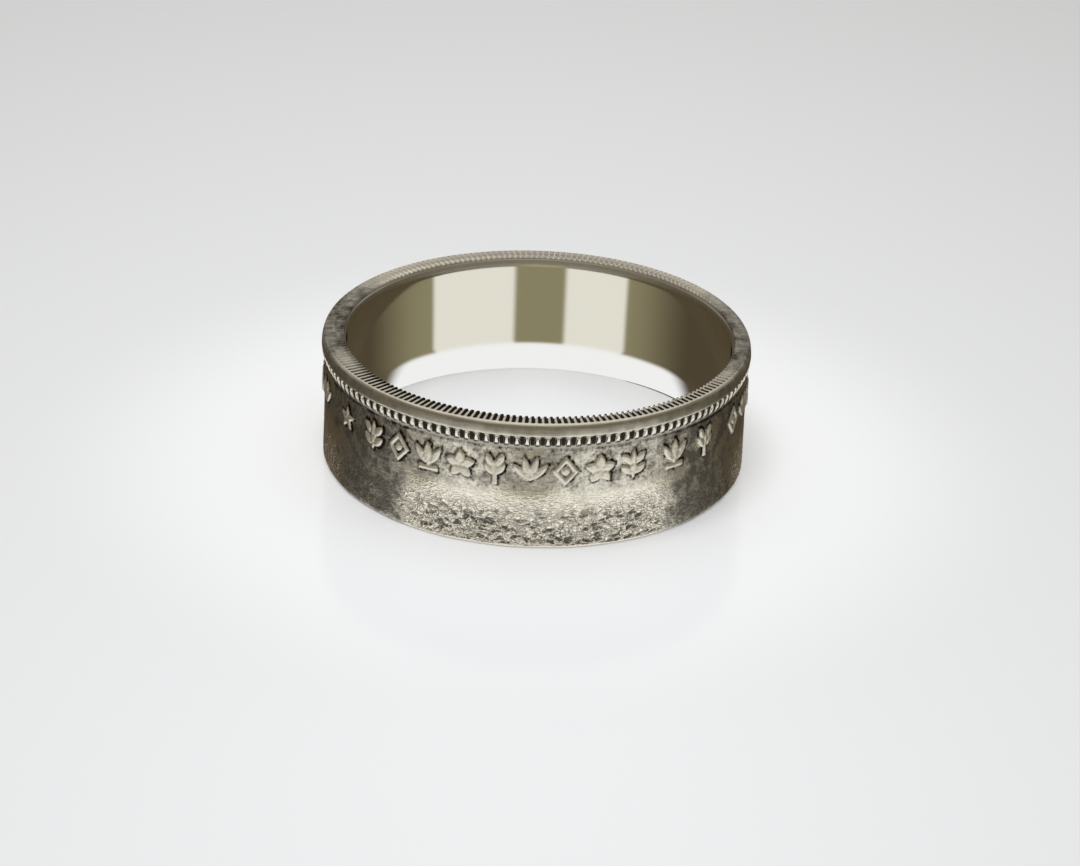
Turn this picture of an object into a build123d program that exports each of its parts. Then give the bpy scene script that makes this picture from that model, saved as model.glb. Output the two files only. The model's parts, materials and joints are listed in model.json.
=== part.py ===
from build123d import *
import math
import os

# Finger ring folded up from a struck silver disc. It is one solid, in millimetres, +Z up.
# The disc's milled edge is the ring's top, and its face is the outside of the band.
# The origin is on the outside's axis, at the foot. The front is at -Y, and angles round
# the ring are in degrees from the front, positive towards +X.

# Band
bore_radius = 9.35          # finger hole
wall = 1.05                 # from the finger hole to the widest line, at the foot of the rim
band_height = 6.40
bore_shift = 0.12           # the hole lies this far towards +X, so the wall at -X is thicker

# Outside, from the top down
rim_height = 0.66           # plain rim above the denticles
rim_lean = 0.12             # the rim's top edge lies this far inside the widest line
tooth_height = 0.52         # row of denticles under the rim
tooth_ramp = 0.30           # height over which the teeth grow out of the field
tooth_step = 0.03           # the teeth lie this far inside the rim
field_step = 0.16           # the field lies this far inside the rim
foot_step = 0.08            # the foot lies this far inside it

# Rounded edges
rim_round = 0.06            # top outer edge
top_flare = 0.10            # the hole opens out this much at the top, inside the milling
top_flare_height = 0.50     # over this height
foot_flare = 0.22           # at the foot it opens out this much, as a cone
foot_flare_height = 1.55    # over this height
foot_round = 0.26           # lower outer edge

# Milling on the top face
reed_count = 212
reed_width = 0.16           # groove, across
reed_depth = 0.11
reed_land = 0.09            # unbroken metal outside the ridges
reed_inset = 0.02           # the ridges start this far outside the flared hole

# Denticles
tooth_count = 137
notch_width = 0.26          # gap between two of them
notch_floor = 0.03          # metal left standing on the field in the gaps

# Ring of ornaments in the field
motif_height = 1.50         # what the shares in the motif tables are shares of
motif_drop = 2.40           # from the top edge to the motifs' middle
motif_relief = 0.11         # how far they stand off the field

# Creases in the lower field, where the metal was stretched least
crease_count = 24
crease_length = 1.80        # longest
crease_width = 0.22
crease_depth = 0.06
crease_zone = 1.60          # height of the creased zone above the foot's round edge
crease_tilt = 25            # they lean this far off level at most, in degrees

frame_opening = 0.58        # a lozenge's opening, as a share of its frame

# A motif is a few strokes. x and y place a stroke's middle, length and width size it, all as
# shares of motif_height, and lean turns it anticlockwise from upright, in degrees.
STROKE = ("shape", "x", "y", "length", "width", "lean")
MOTIFS = {
    "star": [
        ("star", 0.00, 0.00, 0.86, 0.34, 0),
    ],
    "sprig": [
        ("leaf", 0.00, 0.02, 1.00, 0.24, 0),
        ("leaf", -0.22, 0.20, 0.50, 0.24, 42),
        ("leaf", 0.22, 0.20, 0.50, 0.24, -42),
        ("leaf", -0.22, -0.16, 0.50, 0.24, 50),
        ("leaf", 0.22, -0.16, 0.50, 0.24, -50),
    ],
    "lozenge": [
        ("frame", 0.00, 0.00, 0.98, 0.80, 0),
        ("leaf", 0.00, 0.00, 0.30, 0.26, 0),
    ],
    "palmette": [
        ("leaf", 0.00, 0.08, 0.84, 0.30, 0),
        ("leaf", -0.24, 0.04, 0.74, 0.25, 34),
        ("leaf", 0.24, 0.04, 0.74, 0.25, -34),
        ("bar", 0.00, -0.38, 0.66, 0.16, 90),
    ],
    "rosette": [
        ("leaf", 0.00, 0.24, 0.50, 0.30, 0),
        ("leaf", -0.23, 0.07, 0.50, 0.30, 72),
        ("leaf", 0.23, 0.07, 0.50, 0.30, -72),
        ("leaf", -0.14, -0.20, 0.50, 0.30, 144),
        ("leaf", 0.14, -0.20, 0.50, 0.30, -144),
    ],
    "wheat": [
        ("leaf", -0.17, 0.30, 0.44, 0.21, 24),
        ("leaf", 0.17, 0.30, 0.44, 0.21, -24),
        ("leaf", -0.18, 0.00, 0.46, 0.21, 34),
        ("leaf", 0.18, 0.00, 0.46, 0.21, -34),
        ("bar", 0.00, -0.12, 0.78, 0.14, 0),
    ],
    "shell": [
        ("leaf", -0.11, 0.08, 0.84, 0.22, 14),
        ("leaf", 0.11, 0.08, 0.84, 0.22, -14),
        ("leaf", -0.27, -0.04, 0.74, 0.22, 46),
        ("leaf", 0.27, -0.04, 0.74, 0.22, -46),
    ],
}

# Groups of motifs round the ring: where a group starts, the angle from one motif to the next,
# and the motifs in order.
GROUP = ("start", "pitch", "motifs")
GROUPS = [
    (-58.3, 0.00, "star"),
    (-46.1, 9.15, "sprig lozenge palmette rosette wheat shell lozenge rosette sprig"),
    (40.0, 11.40, "palmette wheat"),
    (66.8, 9.15, "lozenge shell sprig rosette palmette wheat lozenge sprig shell"),
    (152.2, 0.00, "star"),
    (165.0, 9.30, "wheat palmette lozenge rosette sprig shell lozenge"),
    (238.5, 9.30, "rosette wheat sprig palmette lozenge shell"),
]

# Worked out from the sizes above
outer_radius = bore_radius + wall
reach = wall                # how far cutters run past what they cut
rim_top_radius = outer_radius - rim_lean
tooth_radius = outer_radius - tooth_step
field_radius = outer_radius - field_step
foot_radius = outer_radius - foot_step
rim_foot = band_height - rim_height
tooth_foot = rim_foot - tooth_height
milled_floor = band_height - reed_depth
motif_middle = band_height - motif_drop


def outwards(angle):
    """Direction straight out of the ring at an angle from the front."""
    turn = math.radians(angle)
    return Vector(math.sin(turn), -math.cos(turn), 0)


def sideways(angle):
    """Direction along the wall, to the right of someone who faces it."""
    turn = math.radians(angle)
    return Vector(math.cos(turn), math.sin(turn), 0)


def front_plane(radius, height):
    """Plane at the ring's front: x runs to the right, y up and z straight outwards."""
    return Plane(outwards(0) * radius + Vector(0, 0, height), x_dir=sideways(0), z_dir=outwards(0))


def eased(radius, height, width, rise, start, end, flats):
    """Edge rounded over in a few flats: points on an ellipse, between two angles."""
    corners = []
    for step in range(flats + 1):
        turn = math.radians(start + (end - start) * step / flats)
        corners.append((radius + width * math.cos(turn), 0, height + rise * math.sin(turn)))
    return corners


def revolved(corners):
    """Solid of revolution with these corners, closed along the Z axis."""
    first, last = corners[0][2], corners[-1][2]
    return revolve(make_face(Polyline((0, 0, first), *corners, (0, 0, last), close=True)), Axis.Z, 360)


def outside():
    """The band with no hole: foot, field, denticle row, rim and top face."""
    return revolved([
        *eased(foot_radius - foot_round, foot_round, foot_round, foot_round, -90, 0, flats=3),
        (field_radius, 0, tooth_foot),
        (tooth_radius, 0, tooth_foot + tooth_ramp),
        (tooth_radius, 0, rim_foot),
        (outer_radius, 0, rim_foot),
        *eased(rim_top_radius - rim_round, band_height - rim_round, rim_round, rim_round,
               0, 90, flats=1),
    ])


def finger_hole():
    """What is cut for the finger: a cylinder with a cone at the foot and a rounded top edge."""
    foot, top = bore_radius + foot_flare, bore_radius + top_flare
    return Pos(bore_shift, 0, 0) * revolved([
        (foot, 0, -reach),
        (foot, 0, 0),
        (bore_radius, 0, foot_flare_height),
        *eased(top, milled_floor - top_flare_height, top_flare, top_flare_height,
               180, 90, flats=2),
        (top, 0, band_height + reach),
    ])


def comb(count, slot, tip, root):
    """Closed outline round the ring with count slots. tip gives a slot's open end at an angle."""
    corners = []
    for copy in range(count):
        angle = 360 * copy / count
        for radius, side in ((tip(angle), -1), (root, -1), (root, 1), (tip(angle), 1)):
            corners.append(outwards(angle) * radius + sideways(angle) * (side * slot / 2))
    return Wire.make_polygon(corners, close=True)


def ridge_start(angle):
    """Radius at which the milling's ridges start: they follow the hole, which lies off the axis."""
    turn = math.radians(angle)
    radius = bore_radius + top_flare + reed_inset
    return bore_shift * math.sin(turn) + math.sqrt(radius ** 2 - (bore_shift * math.cos(turn)) ** 2)


def grooves():
    """What is cut from the top: a shallow recess whose edge is the grooves of the milling."""
    outline = comb(reed_count, reed_width, ridge_start, rim_top_radius - reed_land)
    return extrude(Pos(0, 0, milled_floor) * Face(outline), reach)


def notches():
    """What is cut from under the rim: the gaps between the denticles."""
    outline = comb(tooth_count, notch_width, lambda angle: tooth_radius + reach,
                   field_radius + notch_floor)
    gaps = Face(Wire.make_circle(outer_radius + 2 * reach), [outline])
    return extrude(Pos(0, 0, tooth_foot) * gaps, tooth_height)


def leaf(length, width):
    """Pointed leaf with four sides."""
    return Polygon((0, length / 2), (-width / 2, 0), (0, -length / 2), (width / 2, 0), align=None)


def star(length, width):
    """Five-pointed star: length is its outer diameter and width its inner one."""
    corners = []
    for corner in range(10):
        size = (width if corner % 2 else length) / 2
        turn = math.radians(90 + 36 * corner)
        corners.append((size * math.cos(turn), size * math.sin(turn)))
    return Polygon(*corners, align=None)


def stroke(row):
    """One stroke of a motif, drawn flat at its size and place."""
    mark = dict(zip(STROKE, row))
    length, width = mark["length"] * motif_height, mark["width"] * motif_height
    if mark["shape"] == "bar":
        shape = Rectangle(width, length)
    elif mark["shape"] == "star":
        shape = star(length, width)
    elif mark["shape"] == "frame":
        shape = leaf(length, width) - leaf(length * frame_opening, width * frame_opening)
    else:
        shape = leaf(length, width)
    return Pos(mark["x"] * motif_height, mark["y"] * motif_height) * Rot(0, 0, mark["lean"]) * shape


def motif(rows):
    """A motif as a flat-topped block, seated in the wall at the front."""
    first, *others = [stroke(row) for row in rows]
    return extrude(front_plane(field_radius - field_step, motif_middle) * (first + others),
                   field_step + motif_relief)


def ornaments():
    """All motifs in their places round the ring."""
    blocks = {name: motif(rows) for name, rows in MOTIFS.items()}
    placed = []
    for row in GROUPS:
        group = dict(zip(GROUP, row))
        for number, name in enumerate(group["motifs"].split()):
            placed.append(Rot(0, 0, group["start"] + group["pitch"] * number) * blocks[name])
    return placed


def creases():
    """Lens-shaped dents across the lower wall, spread by the golden angle."""
    golden = 180 * (3 - math.sqrt(5))
    dents = []
    for number in range(crease_count):
        share = (number + 0.5) / crease_count
        height = foot_round + crease_zone * share
        length = crease_length * (1 - share / 2)
        lean = 90 + crease_tilt * math.sin(number)
        place = front_plane(foot_radius - crease_depth, height) * Rot(0, 0, lean)
        dent = extrude(place * leaf(length, crease_width), reach)
        dents.append(Rot(0, 0, golden * number) * dent)
    return dents


def ring_band():
    """The whole ring as one solid."""
    body = outside() - finger_hole()
    body = body - creases()
    body = body + ornaments()
    body = body - notches()
    return body - grooves()


os.makedirs("parts", exist_ok=True)
ring = ring_band()
print("solids", len(ring.solids()), "volume", round(ring.volume, 2), "mm3")
print("box", ring.bounding_box())
export_step(ring, "parts/ring_band.step")
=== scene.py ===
# %% [markdown]
# # A ring made from a silver coin
#
# The real ring is a coin with a finger hole punched in it and its rest folded up into a
# band. The coin's milled edge is now the ring's top, and the coin's face is the outside of
# the band: plain rim, row of denticles, a ring of small raised ornaments, and a lower field
# that crumpled as it folded. The hole is polished. The CAD frame holds one solid, and this
# scene dresses it with one finely modelled band at the same sizes.

# %% Load the CAD frame
import bmesh
import bpy
import json
import math
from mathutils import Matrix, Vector

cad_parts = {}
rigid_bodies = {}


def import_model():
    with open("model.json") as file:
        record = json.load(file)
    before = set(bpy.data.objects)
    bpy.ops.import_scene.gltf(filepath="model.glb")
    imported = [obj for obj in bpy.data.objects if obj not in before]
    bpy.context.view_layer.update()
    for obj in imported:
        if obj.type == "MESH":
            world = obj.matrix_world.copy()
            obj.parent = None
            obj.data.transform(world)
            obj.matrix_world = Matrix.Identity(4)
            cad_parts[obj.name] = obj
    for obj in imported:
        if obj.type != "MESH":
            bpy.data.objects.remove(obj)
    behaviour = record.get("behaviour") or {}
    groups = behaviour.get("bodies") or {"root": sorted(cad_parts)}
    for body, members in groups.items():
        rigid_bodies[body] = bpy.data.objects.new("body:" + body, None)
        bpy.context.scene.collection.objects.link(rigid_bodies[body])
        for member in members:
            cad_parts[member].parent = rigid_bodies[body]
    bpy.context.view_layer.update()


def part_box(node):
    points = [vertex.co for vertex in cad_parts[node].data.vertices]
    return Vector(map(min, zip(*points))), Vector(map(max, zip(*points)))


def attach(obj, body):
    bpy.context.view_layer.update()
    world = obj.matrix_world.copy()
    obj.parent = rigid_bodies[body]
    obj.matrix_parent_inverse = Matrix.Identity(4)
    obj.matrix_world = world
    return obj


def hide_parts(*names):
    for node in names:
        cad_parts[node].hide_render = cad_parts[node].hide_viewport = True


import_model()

MM = 0.001

# %% [markdown]
# ## Sizes
#
# The outer radius and the height come from the CAD node, so that the dressed band always
# has its size. The steps, rows and grooves repeat the sizes that the CAD source names.
# Blender works in metres, so each length is a number of millimetres times MM. The metal's
# patterns are drawn in millimetres, and mm() turns a length back.

# %% Sizes of the band
ring_low, ring_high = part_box("ring_band")
outer_radius = (ring_high[0] - ring_low[0]) / 2
band_height = ring_high[2] - ring_low[2]
wall = 1.05 * MM                # from the finger hole to the widest line
bore_radius = outer_radius - wall
bore_shift = 0.12 * MM          # the hole lies this far towards +X

rim_height = 0.66 * MM          # plain rim above the denticles
rim_lean = 0.12 * MM
tooth_height = 0.52 * MM
tooth_step = 0.03 * MM
tooth_ramp = 0.30 * MM          # height over which the teeth grow out of the field
field_step = 0.16 * MM
foot_step = 0.08 * MM
foot_round = 0.26 * MM
top_flare = 0.10 * MM           # the hole opens out this much at the top
top_flare_height = 0.50 * MM
cone_top = 1.80 * MM            # below this the hole bends outwards
cone_full = 1.30 * MM           # and from here down it is a cone
cone_slope = math.tan(math.radians(8.0))
foot_edge = 0.06 * MM           # rounding of the hole's edge at the foot
rim_edge = 0.09 * MM            # rounding of the rim's lower edge
print("outer radius", round(outer_radius / MM, 3), "height", round(band_height / MM, 3))

# %% Sizes of the milling, the denticles and the ornaments
reed_count = 212
reed_width = 0.16 * MM          # a groove's width
reed_depth = 0.11 * MM
reed_land = 0.09 * MM           # unbroken metal outside the grooves
reed_inset = 0.02 * MM          # and inside them, round the hole
reed_flank = 0.02 * MM          # how far a groove's side slopes
reed_least = 0.72               # share of its depth that the most worn groove keeps
tooth_count = 137
notch_width = 0.26 * MM         # gap between two denticles
notch_depth = 0.10 * MM
notch_soft = 0.025 * MM         # its edge is rounded over this much to either side

motif_height = 1.50 * MM
motif_drop = 2.40 * MM          # from the top edge to the ornaments' middle
motif_relief = 0.11 * MM
motif_reach = 0.81 * MM         # rows lie close this far above and below that middle
shoulder_out = 0.05 * MM        # an ornament's edge starts to rise this far outside its outline
shoulder_in = 0.045 * MM        # and is at its full height this far inside
crumple_top = 1.95 * MM         # rows lie close below this, where the wall is crumpled
crumple_depth = 0.06 * MM

# %% Levels and radii that follow
rim_top_radius = outer_radius - rim_lean
tooth_radius = outer_radius - tooth_step
field_radius = outer_radius - field_step
foot_radius = outer_radius - foot_step
rim_foot = band_height - rim_height
tooth_foot = rim_foot - tooth_height
milled_floor = band_height - reed_depth
notch_head = rim_foot - notch_width / 2
motif_middle = band_height - motif_drop
motif_foot = motif_middle - motif_reach
motif_top = motif_middle + motif_reach
bore_top = bore_radius + top_flare
bore_end = milled_floor - top_flare_height
reed_outer = rim_top_radius - reed_land
reed_inner = bore_top + reed_inset
tooth_full = tooth_foot + tooth_ramp
print("rim from", round(rim_foot / MM, 2), "denticles from", round(tooth_foot / MM, 2),
      "ornaments from", round(motif_foot / MM, 2), "to", round(motif_top / MM, 2))

# %% [markdown]
# ## Helpers
#
# Nodes are added by one small function. Its inputs are numbers, colours, sockets or other
# nodes, by order or by name, and anything else is a setting of the node. A mark is a value
# from 0 to 1 that says how strongly something is so at a place, and overlap() says where
# several marks are all on. Colours are written as the hex values that a paint program shows,
# and turned to linear light here.

# %% Helpers
MATH = "ShaderNodeMath"
VECTOR = "ShaderNodeVectorMath"
RANGE = "ShaderNodeMapRange"
NOISE = "ShaderNodeTexNoise"
CELLS = "ShaderNodeTexVoronoi"
MIX = "ShaderNodeMix"
JOIN = "ShaderNodeCombineXYZ"
PARTS = "ShaderNodeSeparateXYZ"
SMOOTH = {"interpolation_type": "SMOOTHSTEP"}
RGBA = {"data_type": "RGBA"}
IN_MM = (1 / MM, 1 / MM, 1 / MM)
HALF = (0.5, 0.5, 0.5)


def add(tree, kind, inputs=(), **settings):
    """New node in a tree, with its settings made and its inputs set or linked."""
    node = tree.nodes.new(kind)
    for name, value in settings.items():
        setattr(node, name, value)
    pairs = inputs.items() if isinstance(inputs, dict) else enumerate(inputs)
    for key, value in pairs:
        if value is None:
            continue
        if isinstance(value, bpy.types.Node):
            value = value.outputs[0]
        if isinstance(value, bpy.types.NodeSocket):
            tree.links.new(value, node.inputs[key])
        else:
            node.inputs[key].default_value = value
    return node


def overlap(tree, mark, *others):
    """Where several marks are all on: their product."""
    for other in others:
        mark = add(tree, MATH, [mark, other], operation="MULTIPLY")
    return mark


def mm(length):
    """A length as a number of millimetres."""
    return length / MM


def colour(hex_value):
    """Linear RGBA of an sRGB hex colour."""
    parts = [int(hex_value[digit:digit + 2], 16) / 255 for digit in (1, 3, 5)]
    linear = [part / 12.92 if part <= 0.04045 else ((part + 0.055) / 1.055) ** 2.4 for part in parts]
    return (*linear, 1.0)


# %% [markdown]
# ## The pattern of crumpled foil
#
# Where a thin sheet is squeezed it breaks up into small facets with a fold between each two.
# A cell texture has both: the distance to a cell's edge draws the folds, and a random tilt
# for each cell makes the facets. The cells are wider than they are high, because the sheet
# was squeezed from above. The band tree and the metal both use this pattern at the same
# places, so that the tarnish lies in the pockets.

# %% Foil
FOIL_CELLS = 3.4                # cells to a millimetre, before the squeeze
FOIL_SQUEEZE = (0.75, 0.75, 1.7)
FOIL_WARP = (0.9, 0.9, 0.5)     # how far the cells are shoved about, in millimetres


def foil(tree, place):
    """Ridges, pockets and tilted facets of crumpled foil at a place in millimetres."""
    warp = add(tree, NOISE, {"Vector": place, "Scale": 1.7, "Detail": 1.0}).outputs["Color"]
    shove = add(tree, VECTOR, [warp, HALF], operation="SUBTRACT")
    warped = add(tree, VECTOR, [shove, FOIL_WARP, place], operation="MULTIPLY_ADD")
    squeezed = add(tree, VECTOR, [warped, FOIL_SQUEEZE], operation="MULTIPLY")
    edge = add(tree, CELLS, {"Vector": squeezed, "Scale": FOIL_CELLS},
               feature="DISTANCE_TO_EDGE").outputs["Distance"]
    cell = add(tree, CELLS, {"Vector": squeezed, "Scale": FOIL_CELLS}, feature="F1").outputs
    lean = add(tree, VECTOR, [cell["Color"], HALF], operation="SUBTRACT")
    off_middle = add(tree, VECTOR, [squeezed, cell["Position"]], operation="SUBTRACT")
    facet = add(tree, VECTOR, [off_middle, lean], operation="DOT_PRODUCT").outputs["Value"]
    chance = add(tree, PARTS, [cell["Color"]]).outputs["Y"]
    is_deep = add(tree, RANGE, [chance, 0.58, 0.76, 0, 1])
    floor_part = add(tree, RANGE, [edge, 0.02, 0.16, 0, 1], **SMOOTH)
    pocket = overlap(tree, is_deep, floor_part)
    ridge = add(tree, RANGE, [edge, 0.0, 0.17, 1, 0], **SMOOTH)
    return ridge, pocket, facet


# %% [markdown]
# ## The camera
#
# It looks down at the front of the ring from 26 degrees above the floor. The lens is long
# and stands far off, which keeps the ring's near and far edges nearly alike in size, and the
# camera is rolled by two degrees.

# %% Camera
camera_rise = math.radians(26.03)
camera_roll = math.radians(2.14)
camera_distance = 145.6 * MM
camera_target = Vector((0.3234, 0, 0.938)) * MM

aim = Vector((0, math.cos(camera_rise), -math.sin(camera_rise)))
level_up = Vector((0, math.sin(camera_rise), math.cos(camera_rise)))
camera_right = Vector((math.cos(camera_roll), 0, 0)) + level_up * math.sin(camera_roll)
camera_up = level_up * math.cos(camera_roll) - Vector((math.sin(camera_roll), 0, 0))

camera_data = bpy.data.cameras.new("camera")
camera_data.lens = 98.57
camera_data.sensor_width = 36
camera_data.clip_start = 0.005
camera_data.clip_end = 10
camera = bpy.data.objects.new("camera", camera_data)
bpy.context.scene.collection.objects.link(camera)
turn = camera.matrix_world.to_3x3()
for axis, side in enumerate((camera_right, camera_up, -aim)):
    for row in range(3):
        turn[row][axis] = side[row]
camera.matrix_world = turn.to_4x4()
camera.location = camera_target - aim * camera_distance
bpy.context.scene.camera = camera
print("camera at, mm:", [round(place / MM, 1) for place in camera.location])

# %% [markdown]
# ## The profile
#
# A band is one profile carried round a circle. The profile is drawn here as rows of points,
# radius and height, from the foot up the outside, over the milled top and down the hole.
# Rows lie close where the wall is struck or crumpled and wide where the metal is plain. Each
# row has three marks: how far it follows the finger hole, which lies off the axis, whether
# the milling cuts it, and whether it belongs to the struck face.

# %% Rows of the profile
HOLE, OUTSIDE, MILLED, FIELD = (1, 0, 0), (0, 0, 0), (0, 1, 0), (0, 0, 1)
MILLED_HOLE = (1, 1, 0)
profile_rows = []


def run(marks, start, end, rows):
    """Rows along a straight line, from its start up to its end, which the next run draws."""
    for step in range(rows):
        share = step / rows
        radius = start[0] + (end[0] - start[0]) * share
        height = start[1] + (end[1] - start[1]) * share
        profile_rows.append((radius, height, *marks))


def arc(marks, middle, width, rise, start, end, rows):
    """Rows on a rounded edge, a piece of an ellipse between two angles in degrees."""
    for step in range(rows):
        angle = math.radians(start + (end - start) * step / rows)
        radius = middle[0] + width * math.cos(angle)
        height = middle[1] + rise * math.sin(angle)
        profile_rows.append((radius, height, *marks))


def bore_wall(height):
    """Radius of the hole at a height: straight above, and a cone at the foot."""
    bend = min(max(cone_top - height, 0), cone_top - cone_full)
    below = max(cone_full - height, 0)
    return bore_radius + cone_slope * (bend ** 2 / (2 * (cone_top - cone_full)) + below)


def field_point(height):
    """Point of the field's slightly leaning line at a height."""
    share = (height - foot_round) / (tooth_foot - foot_round)
    return foot_radius + (field_radius - foot_radius) * share, height


# %% The profile, from the foot outside to the foot inside
bore_foot = bore_wall(foot_edge) + foot_edge
bore_levels = (5.79, 3.70, 1.80, 1.68, 1.55, 1.42, 1.30)    # rows in the hole, in millimetres

run(OUTSIDE, (bore_foot, 0), (foot_radius - foot_round, 0), 1)
arc(FIELD, (foot_radius - foot_round, foot_round), foot_round, foot_round, -90, 0, 4)
run(FIELD, field_point(foot_round), field_point(crumple_top), 19)
run(FIELD, field_point(crumple_top), field_point(motif_foot), 5)
run(FIELD, field_point(motif_foot), field_point(motif_top), 25)
run(FIELD, field_point(motif_top), field_point(tooth_foot), 3)
run(OUTSIDE, (field_radius, tooth_foot), (tooth_radius, tooth_full), 4)
run(OUTSIDE, (tooth_radius, tooth_full), (tooth_radius, rim_foot), 4)
arc(OUTSIDE, (outer_radius - rim_edge, rim_foot + rim_edge), rim_edge, rim_edge, -90, 0, 3)
arc(OUTSIDE, (reed_outer, rim_foot + rim_edge), outer_radius - reed_outer,
    rim_height - rim_edge, 0, 90, 7)
run(OUTSIDE, (reed_outer, band_height), (reed_outer, band_height), 1)
run(MILLED, (reed_outer - reed_flank, band_height), (reed_inner + 0.01 * MM, band_height), 3)
run(MILLED_HOLE, (reed_inner, band_height), (bore_top, milled_floor), 1)
arc(HOLE, (bore_top, bore_end), top_flare, top_flare_height, 90, 180, 4)
for bore_level in bore_levels:
    profile_rows.append((bore_wall(bore_level * MM), bore_level * MM, *HOLE))
arc(HOLE, (bore_foot, foot_edge), foot_edge, foot_edge, 180, 270, 3)
print("profile rows:", len(profile_rows))

profile_mesh = bpy.data.meshes.new("band_profile")
profile_mesh.from_pydata([(row[0], 0, row[1]) for row in profile_rows], [], [])
marks = profile_mesh.attributes.new("marks", "FLOAT_VECTOR", "POINT")
for point, row in zip(marks.data, profile_rows):
    point.vector = row[2:]
profile = bpy.data.objects.new("band_profile", profile_mesh)
bpy.context.scene.collection.objects.link(profile)

# %% [markdown]
# ## The ornaments
#
# The raised symbols are small sprigs, lozenges, palmettes, rosettes, ears of wheat, shells
# and stars. Each is drawn flat from a few strokes: leaves with curved sides, bars, a frame
# and a star. A stroke's place and size are shares of the motif's height, and lean turns it
# anticlockwise. They are drawn flat because a die is cut flat, and the band tree below
# presses them into the sheet before it is rolled up.

# %% Tables of the strokes
STROKE = ("shape", "x", "y", "length", "width", "lean")
MOTIFS = {
    "star": [
        ("star", 0.00, 0.00, 0.86, 0.34, 0),
    ],
    "sprig": [
        ("leaf", 0.00, 0.02, 1.00, 0.24, 0),
        ("leaf", -0.22, 0.20, 0.50, 0.24, 42),
        ("leaf", 0.22, 0.20, 0.50, 0.24, -42),
        ("leaf", -0.22, -0.16, 0.50, 0.24, 50),
        ("leaf", 0.22, -0.16, 0.50, 0.24, -50),
    ],
    "lozenge": [
        ("frame", 0.00, 0.00, 0.98, 0.80, 0),
        ("leaf", 0.00, 0.00, 0.30, 0.26, 0),
    ],
    "palmette": [
        ("leaf", 0.00, 0.08, 0.84, 0.30, 0),
        ("leaf", -0.24, 0.04, 0.74, 0.25, 34),
        ("leaf", 0.24, 0.04, 0.74, 0.25, -34),
        ("bar", 0.00, -0.38, 0.66, 0.16, 90),
    ],
    "rosette": [
        ("leaf", 0.00, 0.24, 0.50, 0.30, 0),
        ("leaf", -0.23, 0.07, 0.50, 0.30, 72),
        ("leaf", 0.23, 0.07, 0.50, 0.30, -72),
        ("leaf", -0.14, -0.20, 0.50, 0.30, 144),
        ("leaf", 0.14, -0.20, 0.50, 0.30, -144),
    ],
    "wheat": [
        ("leaf", -0.17, 0.30, 0.44, 0.21, 24),
        ("leaf", 0.17, 0.30, 0.44, 0.21, -24),
        ("leaf", -0.18, 0.00, 0.46, 0.21, 34),
        ("leaf", 0.18, 0.00, 0.46, 0.21, -34),
        ("bar", 0.00, -0.12, 0.78, 0.14, 0),
    ],
    "shell": [
        ("leaf", -0.11, 0.08, 0.84, 0.22, 14),
        ("leaf", 0.11, 0.08, 0.84, 0.22, -14),
        ("leaf", -0.27, -0.04, 0.74, 0.22, 46),
        ("leaf", 0.27, -0.04, 0.74, 0.22, -46),
    ],
}
frame_opening = 0.58            # a lozenge's opening, as a share of its frame
leaf_fullness = 0.8             # below 1 a leaf is fuller towards its points

# %% Outlines of the strokes


def leaf_sides(length, width, points=9):
    """Outline of a leaf that is pointed at both ends, with curved sides."""
    left, right = [], []
    for step in range(points):
        share = step / (points - 1)
        along = (share - 0.5) * length
        across = width / 2 * math.sin(math.pi * share) ** leaf_fullness
        right.append((across, along))
        left.append((-across, along))
    return right + left[-2:0:-1]


def stroke_faces(mark):
    """A stroke's outlines, upright and centred: one face, or a band of faces for a frame."""
    length, width = mark["length"] * motif_height, mark["width"] * motif_height
    if mark["shape"] == "bar":
        half, rise = width / 2, length / 2
        return [[(-half, -rise), (half, -rise), (half, rise), (-half, rise)]]
    if mark["shape"] == "star":
        tips = []
        for corner in range(10):
            size = (width if corner % 2 else length) / 2
            angle = math.radians(90 + 36 * corner)
            tips.append((size * math.cos(angle), size * math.sin(angle)))
        return [[(0, 0), tips[corner - 1], tips[corner], tips[(corner + 1) % 10]]
                for corner in range(0, 10, 2)]
    if mark["shape"] == "frame":
        outer = [(0, length / 2), (-width / 2, 0), (0, -length / 2), (width / 2, 0)]
        inner = [(x * frame_opening, y * frame_opening) for x, y in outer]
        return [[outer[side - 1], outer[side], inner[side], inner[side - 1]] for side in range(4)]
    return [leaf_sides(length, width)]


# %% Motifs as flat meshes
def motif_object(name, rows):
    """A motif's strokes as flat faces, each stroke placed and leaned by its row."""
    corners, faces = [], []
    for row in rows:
        mark = dict(zip(STROKE, row))
        lean = math.radians(mark["lean"])
        for face in stroke_faces(mark):
            faces.append(range(len(corners), len(corners) + len(face)))
            for x, y in face:
                across = mark["x"] * motif_height + x * math.cos(lean) - y * math.sin(lean)
                up = mark["y"] * motif_height + x * math.sin(lean) + y * math.cos(lean)
                corners.append((across, up, 0))
    mesh = bpy.data.meshes.new(name)
    mesh.from_pydata(corners, [], [list(face) for face in faces])
    return bpy.data.objects.new(name, mesh)


motif_names = sorted(MOTIFS)
die = bpy.data.collections.new("ornament_dies")
bpy.context.scene.collection.children.link(die)
for name in motif_names:
    die.objects.link(motif_object(name, MOTIFS[name]))
print("motifs:", motif_names)

# %% [markdown]
# ## Where the ornaments stand
#
# They stand in groups round the ring, with plain metal between the groups. A short table
# says where a group starts, the angle from one symbol to the next, and the symbols in order.
# Angles are in degrees from the front, positive to the right. The points lie on the flat
# sheet, so an angle becomes a length along it.

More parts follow.
